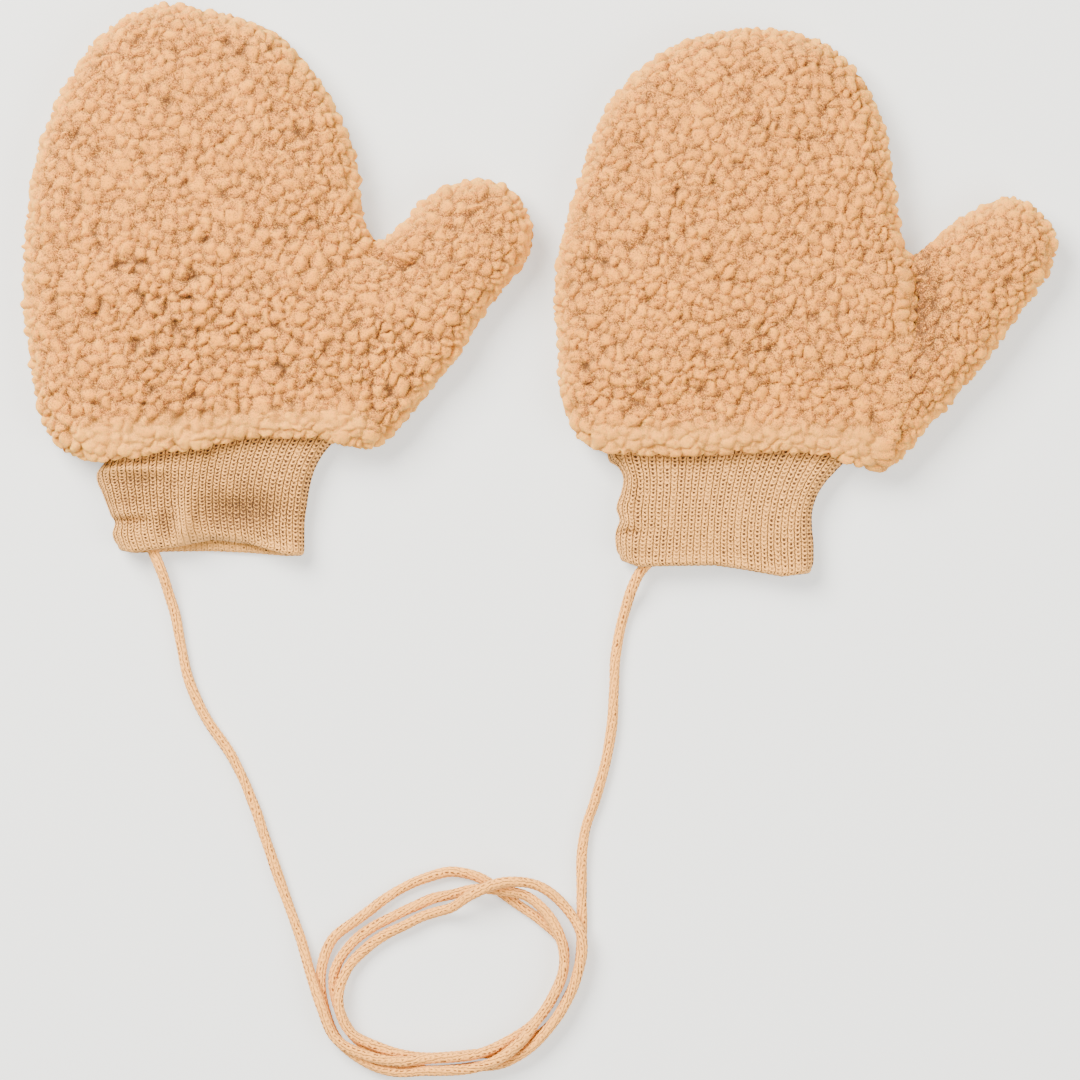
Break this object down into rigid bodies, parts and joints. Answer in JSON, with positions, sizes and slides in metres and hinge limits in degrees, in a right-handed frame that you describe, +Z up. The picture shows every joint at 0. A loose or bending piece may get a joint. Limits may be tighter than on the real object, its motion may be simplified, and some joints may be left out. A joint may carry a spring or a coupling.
{
  "type": "pair of baby mittens",
  "caption": "Baby mittens of curly teddy fleece with thumbs and folded rib-knit cuffs, joined by a soft knitted cord that lies in a loose coil, laid flat.",
  "frame": {"origin": "middle of the two mittens, on the surface that they lie on", "axes": "+X from the right-hand mitten to the left-hand one, +Y towards the fingertips, +Z up"},
  "size_m": [0.2684, 0.2788, 0.0171],
  "materials": {
    "fleece": "curly beige teddy fleece, matte",
    "rib_knit": "beige rib knit, matte",
    "cord": "soft pale beige knitted cord, matte"
  },
  "bodies": {
    "root": {"right_palm_panel": "fleece", "right_back_panel": "fleece", "right_thumb_back": "fleece", "right_cuff": "rib_knit", "left_back_panel": "fleece", "left_thumb_back": "fleece", "left_palm_panel": "fleece", "left_cuff": "rib_knit", "cord": "cord"}
  },
  "joints": []
}
